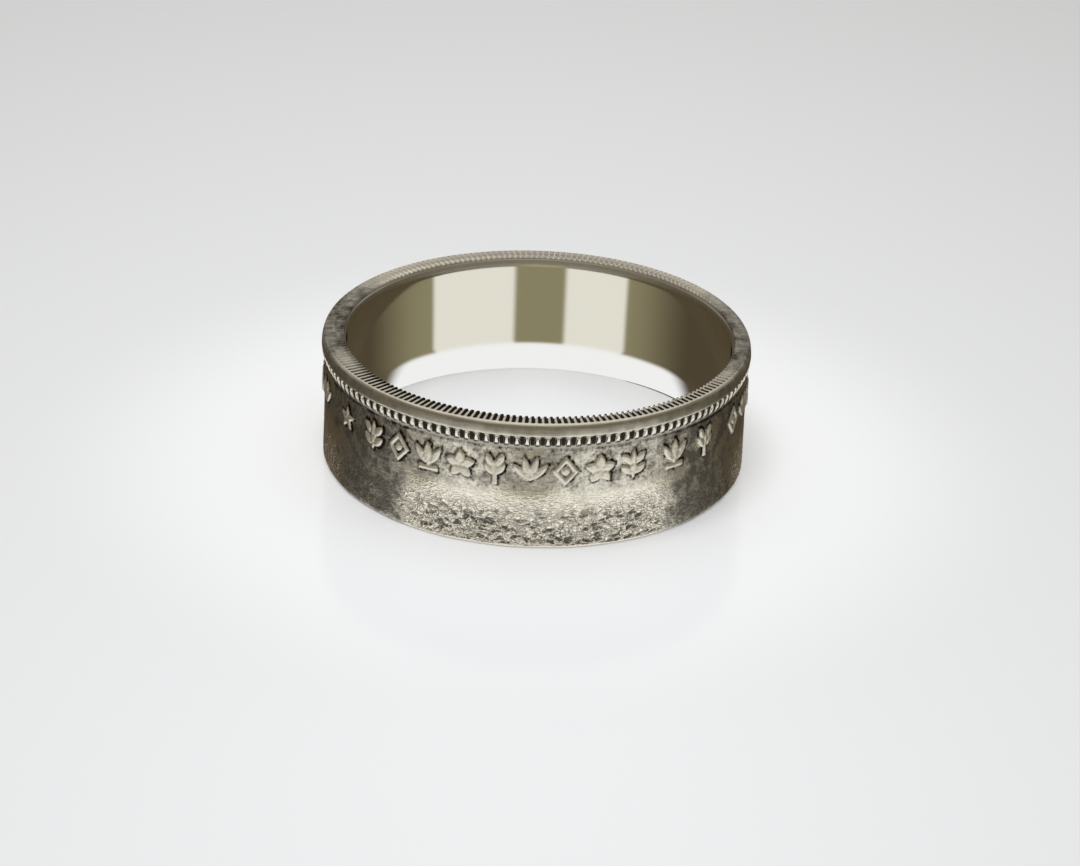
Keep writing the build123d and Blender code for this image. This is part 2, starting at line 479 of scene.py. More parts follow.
# %% Places of the ornaments
GROUP = ("start", "pitch", "motifs")
GROUPS = [
    (-58.3, 0.00, "star"),
    (-46.1, 9.15, "sprig lozenge palmette rosette wheat shell lozenge rosette sprig"),
    (40.0, 11.40, "palmette wheat"),
    (66.8, 9.15, "lozenge shell sprig rosette palmette wheat lozenge sprig shell"),
    (152.2, 0.00, "star"),
    (165.0, 9.30, "wheat palmette lozenge rosette sprig shell lozenge"),
    (238.5, 9.30, "rosette wheat sprig palmette lozenge shell"),
]

whole_turn = 2 * math.pi
reed_pitch = whole_turn / reed_count
first_reed = -119               # the sheet's seam is at this reed, between two ornaments
seam_angle = (first_reed - 0.5) * reed_pitch

places, kinds = [], []
for row in GROUPS:
    group = dict(zip(GROUP, row))
    for number, name in enumerate(group["motifs"].split()):
        angle = math.radians(group["start"] + group["pitch"] * number)
        if angle > seam_angle + whole_turn:
            angle -= whole_turn
        places.append((angle * field_radius, motif_middle, 0))
        kinds.append(motif_names.index(name))
line_mesh = bpy.data.meshes.new("ornament_line")
line_mesh.from_pydata(places, [], [])
kind_mark = line_mesh.attributes.new("kind", "INT", "POINT")
kind_mark.data.foreach_set("value", kinds)
ornament_line = bpy.data.objects.new("ornament_line", line_mesh)
bpy.context.scene.collection.objects.link(ornament_line)
print("ornaments:", len(places))


# %% [markdown]
# ## The band tree
#
# The band follows a rule all the way round, so Geometry Nodes make it, as the coin was made:
# a flat sheet with one column for each fifth of a reed is struck with the ornaments and
# denticles, milled, and rolled into a ring. The tree's inputs are the sizes above.

# %% Tree and its inputs
columns_per_reed = 5
band_seed = 7
tree = bpy.data.node_groups.new("strike_mill_and_roll", "GeometryNodeTree")
tree.interface.new_socket("Band", in_out="OUTPUT", socket_type="NodeSocketGeometry")
band_inputs = {
    "Profile": ("NodeSocketObject", profile),
    "Ornament line": ("NodeSocketObject", ornament_line),
    "Ornament dies": ("NodeSocketCollection", die),
    "Metal": ("NodeSocketMaterial", None),
    "Profile rows": ("NodeSocketInt", len(profile_rows)),
    "Reeds": ("NodeSocketInt", reed_count),
    "First reed": ("NodeSocketInt", first_reed),
    "Reed width": ("NodeSocketFloat", reed_width),
    "Reed flank": ("NodeSocketFloat", reed_flank),
    "Reed depth": ("NodeSocketFloat", reed_depth),
    "Teeth": ("NodeSocketInt", tooth_count),
    "Notch width": ("NodeSocketFloat", notch_width),
    "Notch depth": ("NodeSocketFloat", notch_depth),
    "Relief": ("NodeSocketFloat", motif_relief),
    "Crumple depth": ("NodeSocketFloat", crumple_depth),
    "Hole shift": ("NodeSocketFloat", bore_shift),
    "Seed": ("NodeSocketInt", band_seed),
}
socket_of = {}
for name, (kind, value) in band_inputs.items():
    socket_of[name] = tree.interface.new_socket(name, in_out="INPUT", socket_type=kind).identifier
given = add(tree, "NodeGroupInput").outputs
print("inputs of the band tree:", len(socket_of))

# %% [markdown]
# ### Columns and rows
#
# A grid's points are numbered column by column, so a point's number gives its column and
# its row. The row picks its radius and height out of the profile. One column more and one
# row more than needed close the ring and the profile, and the doubles are merged at the end.

# %% Column, row and profile point
columns = add(tree, MATH, [given["Reeds"], columns_per_reed], operation="MULTIPLY")
columns_more = add(tree, MATH, [columns, 1], operation="ADD")
rows_more = add(tree, MATH, [given["Profile rows"], 1], operation="ADD")
sheet = add(tree, "GeometryNodeMeshGrid", [1, 1, columns_more, rows_more])
index = add(tree, "GeometryNodeInputIndex")
column_part = add(tree, MATH, [index, rows_more], operation="DIVIDE")
nudged = add(tree, MATH, [column_part, 0.00001], operation="ADD")
column = add(tree, MATH, [nudged], operation="FLOOR")
passed = add(tree, MATH, [column, rows_more], operation="MULTIPLY")
row_all = add(tree, MATH, [index, passed], operation="SUBTRACT")
row = add(tree, MATH, [row_all, given["Profile rows"]], operation="MODULO")

profile_points = add(tree, "GeometryNodeObjectInfo", [given["Profile"]]).outputs["Geometry"]
point_place = add(tree, "GeometryNodeInputPosition")
point_marks = add(tree, "GeometryNodeInputNamedAttribute", ["marks"], data_type="FLOAT_VECTOR")
picked = []
for value in (point_place, point_marks):
    point = add(tree, "GeometryNodeSampleIndex",
                {"Geometry": profile_points, "Value": value, "Index": row},
                data_type="FLOAT_VECTOR")
    picked.append(add(tree, PARTS, [point]).outputs)
radius, height = picked[0]["X"], picked[0]["Z"]
follows_hole, milled, struck = picked[1]["X"], picked[1]["Y"], picked[1]["Z"]

# %% [markdown]
# ### Angles
#
# Five columns to a reed: one on the ridge, and two on each side of the groove, at the top
# and at the foot of its flank. On the milled rows the columns slide to those places, which
# keeps the flanks steep with few faces. On all other rows they stay evenly spaced.

# %% Angle of each column
reed_all = add(tree, MATH, [column, columns_per_reed], operation="DIVIDE")
reed_nudged = add(tree, MATH, [reed_all, 0.0001], operation="ADD")
reed_floor = add(tree, MATH, [reed_nudged], operation="FLOOR")
reed = add(tree, MATH, [reed_floor, given["First reed"]], operation="ADD")
in_reed = add(tree, MATH, [reed_floor, -columns_per_reed, column], operation="MULTIPLY_ADD")
even_share = add(tree, MATH, [in_reed, 1 / columns_per_reed, -0.5], operation="MULTIPLY_ADD")
from_middle = add(tree, MATH, [in_reed, 2.5], operation="SUBTRACT")
side = add(tree, MATH, [from_middle], operation="SIGN")
apart = add(tree, MATH, [from_middle], operation="ABSOLUTE")
is_foot = add(tree, MATH, [apart, 1], operation="LESS_THAN")
is_ridge = add(tree, MATH, [apart, 2], operation="GREATER_THAN")
reed_turn = add(tree, MATH, [whole_turn, given["Reeds"]], operation="DIVIDE")
reed_length = add(tree, MATH, [reed_turn, radius], operation="MULTIPLY")
half_groove = add(tree, MATH, [given["Reed width"], 0.5], operation="MULTIPLY")
flank_in = overlap(tree, is_foot, given["Reed flank"])
flank_out = add(tree, MATH, [given["Reed flank"], 0.5, half_groove], operation="MULTIPLY_ADD")
edge_length = add(tree, MATH, [flank_out, flank_in], operation="SUBTRACT")
edge_share = add(tree, MATH, [edge_length, reed_length], operation="DIVIDE")
signed_share = add(tree, MATH, [edge_share, side], operation="MULTIPLY")
milled_share = add(tree, MIX, {0: is_ridge, 2: signed_share, 3: -0.5})
share = add(tree, MIX, {0: milled, 2: even_share, 3: milled_share})
reeds_on = add(tree, MATH, [reed, share], operation="ADD")
angle = add(tree, MATH, [reeds_on, reed_turn], operation="MULTIPLY")
sine = add(tree, MATH, [angle], operation="SINE")
cosine = add(tree, MATH, [angle], operation="COSINE")
print("columns:", reed_count * columns_per_reed)

# %% [markdown]
# ### Milling
#
# The two columns at a groove's foot sink. No two grooves of an old coin are quite as deep,
# so each reed draws its own depth. At the two sides, where fingers rub, the milling is worn
# shallow, and behind it is deeper again. The cosine of the angle says where a reed stands:
# 1 is the front, 0 the sides and -1 the back.

# %% Depth of the grooves
reed_wear = add(tree, "FunctionNodeRandomValue",
                {"ID": reed, "Seed": given["Seed"], 2: reed_least, 3: 1.0}, data_type="FLOAT")
front_keep = add(tree, RANGE, [cosine, 0.22, 0.50, 0.30, 1.0])
back_keep = add(tree, RANGE, [cosine, -0.15, -0.55, 0, 0.35])
groove_keep = add(tree, MATH, [front_keep, back_keep], operation="ADD")
groove_sink = overlap(tree, is_foot, milled, reed_wear.outputs[1], groove_keep,
                      given["Reed depth"])
print("grooves in front, mm deep:", round(mm(reed_depth) * reed_least, 3), "to", mm(reed_depth))

# %% [markdown]
# ### Denticles
#
# Between two denticles lies a notch with a rounded head. Its shape is all that lies near
# enough to its middle line, which stops half a notch's width under the rim. The distance to
# the nearest middle line is worked out as a length along the wall.

# %% Distance from the middle of the nearest notch
tooth_turn = add(tree, MATH, [whole_turn, given["Teeth"]], operation="DIVIDE")
teeth_on = add(tree, MATH, [angle, tooth_turn], operation="DIVIDE")
tooth_shift = add(tree, MATH, [teeth_on, 0.5], operation="ADD")
tooth_whole = add(tree, MATH, [tooth_shift], operation="FLOOR")
tooth_share = add(tree, MATH, [teeth_on, tooth_whole], operation="SUBTRACT")
tooth_angle = add(tree, MATH, [tooth_share, tooth_turn], operation="MULTIPLY")
notch_across = add(tree, MATH, [tooth_angle, radius], operation="MULTIPLY")
notch_over = add(tree, MATH, [height, notch_head], operation="SUBTRACT")
notch_up = add(tree, MATH, [notch_over, 0], operation="MAXIMUM")
notch_point = add(tree, JOIN, [notch_across, notch_up])
notch_distance = add(tree, VECTOR, [notch_point], operation="LENGTH").outputs["Value"]

# %% Depth of the notches
slack = 0.01 * MM               # rows are told apart with this much to spare
notch_stand = 0.02 * MM         # metal left standing on the field in the notches
notch_half = add(tree, MATH, [given["Notch width"], 0.5], operation="MULTIPLY")
notch_inner = add(tree, MATH, [notch_half, -notch_soft], operation="ADD")
notch_outer = add(tree, MATH, [notch_half, notch_soft], operation="ADD")
notch_round = add(tree, RANGE, [notch_distance, notch_inner, notch_outer, 1, 0])
above_foot = add(tree, MATH, [height, tooth_foot - slack], operation="GREATER_THAN")
under_rim = add(tree, MATH, [height, rim_foot - slack], operation="LESS_THAN")
is_outside = add(tree, MATH, [radius, field_radius - slack], operation="GREATER_THAN")
stands_out = add(tree, MATH, [radius, field_radius + notch_stand], operation="SUBTRACT")
tooth_stands = add(tree, MATH, [stands_out, 0], operation="MAXIMUM")
notch_deep = add(tree, MATH, [tooth_stands, given["Notch depth"]], operation="MINIMUM")
notch_sink = overlap(tree, notch_round, above_foot, under_rim, is_outside, notch_deep)
print("notches, mm deep:", round(mm(notch_depth), 3))

# %% [markdown]
# ### Striking the ornaments
#
# The flat motifs are placed along the line as instances, each turned a degree or two, as
# hand-cut dies are. Geometry Proximity then measures how far each point of the sheet is
# from the strokes and, inside a stroke, from its outline. Together they are one signed
# distance, which gives relief with rounded shoulders, whatever the shape.

# %% Ornaments laid out flat
die_tilt = 0.035                # radians
line_points = add(tree, "GeometryNodeObjectInfo", [given["Ornament line"]]).outputs["Geometry"]
kind_name = add(tree, "GeometryNodeInputNamedAttribute", ["kind"], data_type="INT")
dies = add(tree, "GeometryNodeCollectionInfo", [given["Ornament dies"], True, True])
tilt = add(tree, "FunctionNodeRandomValue",
           {0: (0, 0, -die_tilt), 1: (0, 0, die_tilt), "Seed": given["Seed"]},
           data_type="FLOAT_VECTOR")
tilted = add(tree, "FunctionNodeEulerToRotation", [tilt])
placed = add(tree, "GeometryNodeInstanceOnPoints",
             {"Points": line_points, "Instance": dies, "Pick Instance": True,
              "Instance Index": kind_name, "Rotation": tilted})
laid_out = add(tree, "GeometryNodeRealizeInstances", [placed])
print("ornaments turned by up to", round(math.degrees(die_tilt), 1), "degrees")

# %% Distance to the ornaments, and their relief
along = add(tree, MATH, [angle, field_radius], operation="MULTIPLY")
on_sheet = add(tree, JOIN, [along, height])
to_face, to_edge = [
    add(tree, "GeometryNodeProximity", {"Geometry": laid_out, "Sample Position": on_sheet},
        target_element=element).outputs
    for element in ("FACES", "EDGES")]
is_inside = add(tree, MATH, [to_face["Distance"], 0.001 * MM], operation="LESS_THAN")
depth_inside = overlap(tree, is_inside, to_edge["Distance"])
stroke_gap = add(tree, MATH, [to_face["Distance"], depth_inside], operation="SUBTRACT")
from_stroke = add(tree, VECTOR, [on_sheet, to_face["Position"]], operation="SUBTRACT")
stroke_way = add(tree, VECTOR, [from_stroke], operation="NORMALIZE")
stroke_right = add(tree, PARTS, [stroke_way]).outputs["X"]
raised = add(tree, RANGE, [stroke_gap, shoulder_out, -shoulder_in, 0, 1], **SMOOTH)
relief = overlap(tree, raised, struck, given["Relief"])

# %% [markdown]
# ### Rolling up
#
# Every point now gets its place on the ring. Its radius is the profile's, less the notch,
# plus the relief. The rows of the finger hole are shifted sideways with it.

# %% Place on the ring before wear
rolled_x = add(tree, MATH, [sine, radius], operation="MULTIPLY")
minus_radius = add(tree, MATH, [radius, -1], operation="MULTIPLY")
rolled_y = add(tree, MATH, [cosine, minus_radius], operation="MULTIPLY")
rolled = add(tree, JOIN, [rolled_x, rolled_y, height])
in_mm = add(tree, VECTOR, [rolled, IN_MM], operation="MULTIPLY")
minus_cosine = add(tree, MATH, [cosine, -1], operation="MULTIPLY")
outwards = add(tree, JOIN, [sine, minus_cosine])

# %% [markdown]
# ### Crumpled and worn metal
#
# The lower field was squeezed as the coin folded, so it is crinkled like foil. The pattern
# of crumpled foil moves the sheet in and out by some hundredths of a millimetre: facets
# tilt, ridges between them stand up and some of them are pockets, each by a share of the
# crumple depth. It is strong at the foot and fades out upwards, and a short table says where
# round the ring it is strongest: the middle of a stretch and half its width, in degrees. A
# slow, shallow wave makes the whole outside a little uneven, as a hand-worked ring is.

# %% Where round the ring the metal crumpled most
ZONE = ("middle", "half", "strength")
ZONES = [
    (2, 34, 1.00),
    (98, 28, 0.60),
    (190, 46, 0.90),
    (-88, 24, 0.45),
]
zone_blur = 9                   # degrees to either side of a stretch's end
zone_weakest = 0.12
zone = 0
for values in ZONES:
    stretch = dict(zip(ZONE, values))
    off = add(tree, MATH, [angle, math.radians(stretch["middle"])], operation="SUBTRACT")
    near = add(tree, MATH, [off], operation="COSINE")
    inner = math.cos(math.radians(stretch["half"] - zone_blur))
    outer = math.cos(math.radians(stretch["half"] + zone_blur))
    here = add(tree, RANGE, [near, outer, inner, 0, stretch["strength"]], **SMOOTH)
    zone = add(tree, MATH, [zone, here], operation="MAXIMUM")
zone_least = add(tree, MATH, [zone, zone_weakest], operation="MAXIMUM")
print("crumpled stretches:", len(ZONES))

# %% Facets, ridges and pockets
ridge, pocket, facet = foil(tree, in_mm)
full_crumple = 0.9 * MM         # below this height the crumpling is at its full strength
low = add(tree, RANGE, [height, motif_foot, full_crumple, 0, 1], **SMOOTH)
above_floor = add(tree, RANGE, [height, 0.02 * MM, 0.25 * MM, 0, 1])
crumple = overlap(tree, low, above_floor, struck, zone_least)
ridge_rise = add(tree, MATH, [ridge, 0.30, -0.05], operation="MULTIPLY_ADD")
pocket_sink = add(tree, MATH, [pocket, -0.50, ridge_rise], operation="MULTIPLY_ADD")
foil_shape = add(tree, MATH, [facet, 2.5, pocket_sink], operation="MULTIPLY_ADD")
crumple_move = overlap(tree, foil_shape, given["Crumple depth"], crumple)
print("crumple depth, mm:", round(mm(crumple_depth), 3))

# %% Slow wave
wave_height = 0.10 * MM
wave_noise = add(tree, NOISE, {"Vector": in_mm, "Scale": 0.45, "Detail": 1.0})
wave_mid = add(tree, MATH, [wave_noise, 0.56], operation="SUBTRACT")
wave = overlap(tree, wave_mid, wave_height, struck)
print("wave height, mm:", round(mm(wave_height), 3))

# %% Final place
push_relief = add(tree, MATH, [relief, notch_sink], operation="SUBTRACT")
push_ridge = add(tree, MATH, [push_relief, crumple_move], operation="ADD")
push = add(tree, MATH, [push_ridge, wave], operation="ADD")
pushed = add(tree, VECTOR, {0: outwards, "Scale": push}, operation="SCALE")
minus_groove = add(tree, MATH, [groove_sink, -1], operation="MULTIPLY")
grooved = add(tree, JOIN, {"Z": minus_groove})
shift_x = overlap(tree, follows_hole, given["Hole shift"])
shifted = add(tree, JOIN, {"X": shift_x})
moves = add(tree, VECTOR, [pushed, grooved], operation="ADD")
moves_all = add(tree, VECTOR, [moves, shifted], operation="ADD")
final_place = add(tree, VECTOR, [rolled, moves_all], operation="ADD")

# %% [markdown]
# ### What the metal remembers
#
# Tarnish sits in the pockets and round the feet of the ornaments, and painted shade lies
# to the right of each stroke, so the sheet stores what the material needs. unworn_place is
# where a point lay before it was pushed about, so that the tarnish follows the foil pattern.
# The others are the signed distance to a stroke, which side of the stroke the point lies on
# for the painted shade, how crumpled the metal is there, how far the stretch round it is,
# and whether it belongs to the struck face. The material reads them as attributes.

# %% Stored marks, merge and material
merge_distance = 0.001 * MM
gap_mm = add(tree, MATH, [stroke_gap, 1 / MM], operation="MULTIPLY")
stored = {
    "stroke_gap": gap_mm,
    "stroke_right": stroke_right,
    "crumple": crumple,
    "zone": zone,
    "struck": struck,
}
band = add(tree, "GeometryNodeStoreNamedAttribute",
           {"Geometry": sheet, "Name": "unworn_place", "Value": in_mm}, data_type="FLOAT_VECTOR")
for name, value in stored.items():
    band = add(tree, "GeometryNodeStoreNamedAttribute",
               {"Geometry": band, "Name": name, "Value": value})
band = add(tree, "GeometryNodeSetPosition", {"Geometry": band, "Position": final_place})
band = add(tree, "GeometryNodeMergeByDistance", {"Geometry": band, "Distance": merge_distance})
band = add(tree, "GeometryNodeSetShadeSmooth", [band])
band = add(tree, "GeometryNodeRealizeInstances", [band])
band = add(tree, "GeometryNodeSetMaterial", {"Geometry": band, "Material": given["Metal"]})
add(tree, "NodeGroupOutput", [band])
print("nodes in the band tree:", len(tree.nodes))

# %% [markdown]
# ## Aged coin silver
#
# Coin silver is nine tenths silver with some copper: a warm white metal. Struck, handled and
# darkened with liver of sulphur, then rubbed back, it is bright on everything that stands up
# and brown-black in every groove. The eye gets three things from it: soft broad reflections
# on the worn face, black lines that draw the milling and the denticles, and inside the hole
# a mirror. The patterns read Object coordinates in millimetres, so they are sharp at any
# distance, and the attributes that the sheet stored.

# %% Metal, and where a point lies
silver = bpy.data.materials.new("aged_coin_silver")
silver.use_nodes = True
paint = silver.node_tree
paint.nodes.clear()
spot = add(paint, "ShaderNodeTexCoord").outputs["Object"]
spot_mm = add(paint, VECTOR, [spot, IN_MM], operation="MULTIPLY")
spot_part = add(paint, PARTS, [spot_mm]).outputs
level = spot_part["Z"]
spot_back = add(paint, MATH, [spot_part["Y"], -1], operation="MULTIPLY")
spot_angle = add(paint, MATH, [spot_part["X"], spot_back], operation="ARCTAN2")
far_side = add(paint, MATH, [spot_angle], operation="ABSOLUTE")
spot_flat = add(paint, VECTOR, [spot_mm, (1, 1, 0)], operation="MULTIPLY")
spot_radius = add(paint, VECTOR, [spot_flat], operation="LENGTH").outputs["Value"]
spot_bore = add(paint, VECTOR, [spot_flat, (mm(bore_shift), 0, 0)], operation="SUBTRACT")
bore_distance = add(paint, VECTOR, [spot_bore], operation="LENGTH").outputs["Value"]

# %% [markdown]
# ### Black in the cuts
#
# The darkening stays longest in the grooves and notches. Both repeat round the ring, so the
# distance to the nearest one is worked out from the point's angle. A groove or notch with a
# round end is then all that lies near enough to its middle line.


# %% Distance to the nearest of some equal places round the ring
def arc_to_nearest(count):
    """Length along the wall, in millimetres, to the nearest of count places."""
    number = add(paint, MATH, [spot_angle, count / whole_turn], operation="MULTIPLY")
    whole = add(paint, MATH, [number], operation="ROUND")
    beside = add(paint, MATH, [number, whole], operation="SUBTRACT")
    beside_long = add(paint, MATH, [beside, spot_radius], operation="MULTIPLY")
    return add(paint, MATH, [beside_long, whole_turn / count], operation="MULTIPLY")


# %% Black in the milling's grooves
reed_gap = arc_to_nearest(reed_count)
reed_half = mm(reed_width / 2)
reed_end = add(paint, MATH, [spot_radius, mm(reed_outer) - reed_half], operation="SUBTRACT")
reed_past = add(paint, MATH, [reed_end, 0], operation="MAXIMUM")
reed_point = add(paint, JOIN, [reed_gap, reed_past])
reed_distance = add(paint, VECTOR, [reed_point], operation="LENGTH").outputs["Value"]
groove_line = add(paint, RANGE, [reed_distance, reed_half + 0.003, reed_half + 0.024, 1, 0])
top_level = mm(milled_floor)
on_top = add(paint, RANGE, [level, top_level - 0.03, top_level - 0.005, 0, 1])
bore_edge = mm(bore_top)
outside_bore = add(paint, RANGE, [bore_distance, bore_edge - 0.05, bore_edge + 0.01, 0, 1])
groove = overlap(paint, groove_line, on_top, outside_bore)

# %% Black in the notches
notch_side = arc_to_nearest(tooth_count)
notch_end = mm(notch_width / 2)
teeth_level = mm(tooth_foot)
notch_rise = add(paint, MATH, [level, mm(notch_head)], operation="SUBTRACT")
notch_high = add(paint, MATH, [notch_rise, 0], operation="MAXIMUM")
notch_taper = add(paint, RANGE, [level, teeth_level, mm(notch_head), 0.66, 1.0])
notch_wide = add(paint, MATH, [notch_side, notch_taper], operation="DIVIDE")
notch_spot = add(paint, JOIN, [notch_wide, notch_high])
notch_away = add(paint, VECTOR, [notch_spot], operation="LENGTH").outputs["Value"]
notch_edge = add(paint, RANGE, [notch_away, notch_end - 0.04, notch_end + 0.035, 1, 0], **SMOOTH)
notch_low = add(paint, RANGE, [level, teeth_level - 0.05, teeth_level + 0.14, 0, 1], **SMOOTH)
notch_wall = add(paint, RANGE, [spot_radius, bore_edge + 0.3, bore_edge + 0.31, 0, 1])
notch_black = overlap(paint, notch_edge, notch_low, notch_wall)
print("groove", round(reed_half * 2, 2), "mm and notch", round(notch_end * 2, 2), "mm wide")

# %% [markdown]
# ### Patterns of the face
#
# A dark line of tarnish follows the foot of every raised stroke and fades out over a tenth
# of a millimetre, and painted shade makes it stronger to the right of a stroke. Broad
# blotches and a fine grain make the field uneven. In the crumpled part the foil's pockets
# are dark with tarnish, and a noise draws two more sets of thin lines where it crosses a
# value: painted shade in the folds and painted highlights on the wrinkles.

# %% Marks that the sheet stored
stroke_mark, right_mark, crumple_mark, zone_mark, struck_mark = [
    add(paint, "ShaderNodeAttribute", attribute_name=name).outputs["Fac"] for name in stored]
unworn = add(paint, "ShaderNodeAttribute", attribute_name="unworn_place").outputs["Vector"]

# %% Tarnish at the feet of the strokes, painted shade to their right, and their rubbed tops
stroke_foot = add(paint, RANGE, [stroke_mark, 0.0, 0.045, 0, 1])
stroke_fade = add(paint, RANGE, [stroke_mark, 0.05, 0.19, 1, 0])
# Painted shade: the dark line at a stroke's foot is made stronger on the stroke's right side.
stroke_right_shade = add(paint, RANGE, [right_mark, -0.4, 0.5, 0.30, 1.0])
stroke_tarnish_and_shade = overlap(paint, stroke_foot, stroke_fade, stroke_right_shade, struck_mark)
stroke_top = add(paint, RANGE, [stroke_mark, 0.03, -0.01, 0, 1])
rubbed = overlap(paint, stroke_top, struck_mark)

# %% Blotches and grain
blotch_noise = add(paint, NOISE, {"Vector": spot_mm, "Scale": 1.5, "Detail": 4.0,
                                  "Roughness": 0.68})
blotch = add(paint, RANGE, [blotch_noise, 0.42, 0.62, 0, 1])
grain_noise = add(paint, NOISE, {"Vector": spot_mm, "Scale": 6.5, "Detail": 3.0,
                                 "Roughness": 0.65})
grain = add(paint, RANGE, [grain_noise, 0.45, 0.70, 0, 1])


# %% Pockets of tarnish, painted shade in the folds and painted highlights on the wrinkles
def line_where(noise, value, near, far):
    """Thin line where a noise crosses a value."""
    beside = add(paint, MATH, [noise, value], operation="SUBTRACT")
    beside_size = add(paint, MATH, [beside], operation="ABSOLUTE")
    return add(paint, RANGE, [beside_size, near, far, 1, 0], **SMOOTH)


foil_ridge, foil_pocket, foil_facet = foil(paint, unworn)
foil_strong = add(paint, RANGE, [crumple_mark, 0.25, 0.9, 0, 1], **SMOOTH)
pocket_black = overlap(paint, foil_pocket, foil_strong)
# Real wear and painted highlight: the foil's ridges are drawn clean and bright.
ridge_and_highlight = overlap(paint, foil_ridge, crumple_mark)
wrinkle_place = add(paint, VECTOR, [spot_mm, (1.0, 1.0, 1.5)], operation="MULTIPLY")
wrinkle_noise = add(paint, NOISE, {"Vector": wrinkle_place, "Scale": 4.2, "Detail": 1.5,
                                   "Roughness": 0.5, "Distortion": 0.8})
# Painted highlight: a thin bright line where the wrinkle noise crosses 0.5; the same line is also
# bump.
wrinkle_and_highlight = overlap(paint, line_where(wrinkle_noise, 0.5, 0.0, 0.06), crumple_mark)
# Painted shade: a thin dark fold line beside each wrinkle.
fold_shade = overlap(paint, line_where(wrinkle_noise, 0.58, 0.008, 0.040), 0.75, foil_strong)
fold_shade_or_pocket = add(paint, MATH, [fold_shade, pocket_black], operation="MAXIMUM")

# %% [markdown]
# ### How dark each point is
#
# The patterns are laid over each other, each as strong as the real metal shows it. The field
# is darkest high up between the ornaments, and painted shade darkens it low down at the two
# flanks, outside the crumpled part. The rim ages less at its foot, and a painted shadow lies
# under the denticles. The strokes' tops are then rubbed bright again, the ridges are rubbed
# bright and carry a painted highlight, and the wrinkles carry a painted highlight.

# %% Tarnish of the field, and painted shade on its flanks
blotch_part = add(paint, MATH, [blotch, 0.38, 0.14], operation="MULTIPLY_ADD")
speckled = add(paint, MATH, [grain, 0.42, blotch_part], operation="MULTIPLY_ADD")
upper_field = add(paint, RANGE, [level, 2.3, 3.4, 0.05, 1.05], **SMOOTH)
off_most = add(paint, MATH, [1, zone_mark], operation="SUBTRACT")
off_spots = overlap(paint, off_most, 0.65)
spots_here = add(paint, MATH, [upper_field, off_spots], operation="MAXIMUM")
field_spots = overlap(paint, speckled, spots_here)

# Painted shade: the field low down at the two flanks, 33 to 66 degrees from the front, is drawn
# darker in patches.
flank_on = add(paint, RANGE, [far_side, math.radians(33), math.radians(42), 0, 1])
flank_off = add(paint, RANGE, [far_side, math.radians(54), math.radians(66), 1, 0])
flank_low = add(paint, RANGE, [level, 1.8, 3.2, 0.30, 0])
flank = overlap(paint, flank_on, flank_off)
flank_shade_patches = add(paint, RANGE, [blotch_noise, 0.34, 0.70, 0.10, 0.52])
flank_shade = add(paint, MATH, [flank, flank_low, flank_shade_patches], operation="MULTIPLY_ADD")
off_zone = overlap(paint, flank_shade, off_most)
field_both = add(paint, MATH, [field_spots, off_zone], operation="ADD")
field_dark = add(paint, MATH, [field_both, 0.82], operation="MINIMUM")
face_dark = overlap(paint, field_dark, struck_mark)

# %% Tarnish of the rim, and painted shadow under the denticles
rim_level = mm(rim_foot)
rim_aged = add(paint, RANGE, [level, rim_level, rim_level + 0.16, 0.12, 0.95])
rim_side = add(paint, RANGE, [far_side, math.radians(15), math.radians(60), 1.0, 1.35])
top_keep = add(paint, MATH, [on_top, -0.55, 1.0], operation="MULTIPLY_ADD")
rim_spots = add(paint, RANGE, [blotch_noise, 0.35, 0.65, 0.30, 0.58])
plain_dark = overlap(paint, rim_aged, rim_side, top_keep, rim_spots)
base_dark = add(paint, MATH, [face_dark, plain_dark], operation="MAXIMUM")
# Painted shadow: a dark band on the field just under the denticles.
under_top = add(paint, RANGE, [level, teeth_level + 0.02, teeth_level + 0.18, 1, 0])
under_low = add(paint, RANGE, [level, teeth_level - 0.26, teeth_level - 0.05, 0, 1])
under_teeth_shadow = overlap(paint, under_top, under_low)
tarnish_and_teeth_shadow = add(paint, MATH, [under_teeth_shadow, 0.42, base_dark], operation="MULTIPLY_ADD")

# %% Rubbed bright, painted highlights, and dark lines of tarnish and painted shade on top
rubbed_keep = add(paint, MATH, [rubbed, -0.85, 1.0], operation="MULTIPLY_ADD")
base_left = overlap(paint, tarnish_and_teeth_shadow, rubbed_keep)
pockets_and_fold_shade = add(paint, MATH, [fold_shade_or_pocket, 0.80, base_left], operation="MULTIPLY_ADD")
line_strength = add(paint, RANGE, [grain_noise, 0.30, 0.62, 0.30, 0.85])
# Painted highlights on the wrinkles and ridges lighten the colour, and the stroke line adds tarnish
# with painted shade.
face_marks = pockets_and_fold_shade
for mark, strength in (
        (wrinkle_and_highlight, -0.60),
        (ridge_and_highlight, -0.90),
        (stroke_tarnish_and_shade, line_strength)):
    face_marks = add(paint, MATH, [mark, strength, face_marks], operation="MULTIPLY_ADD",
                     use_clamp=True)

# %% [markdown]
# ### The polished hole and the milled top
#
# The hole is polished and has no tarnish, down to the end of the cone at its foot. On the
# milled top the darkening is left in the grooves in front. At the sides the grooves are worn
# and a dull film lies over the whole face, and behind it is cleaner again.

# %% Polished inside
polish = add(paint, RANGE, [bore_distance, bore_edge - 0.03, bore_edge, 1, 0])
cone_hole = add(paint, RANGE, [level, mm(cone_top), mm(cone_top) + 0.01, 1, 0])
inside = add(paint, RANGE, [bore_distance, mm(bore_foot) + 0.03, mm(bore_foot) + 0.06, 1, 0])
cone_polish = overlap(paint, cone_hole, inside)
polished = add(paint, MATH, [polish, cone_polish], operation="MAXIMUM")
unpolished = add(paint, MATH, [1, polished], operation="SUBTRACT")
face_tarnish = add(paint, MATH, [face_marks, unpolished], operation="MULTIPLY", use_clamp=True)

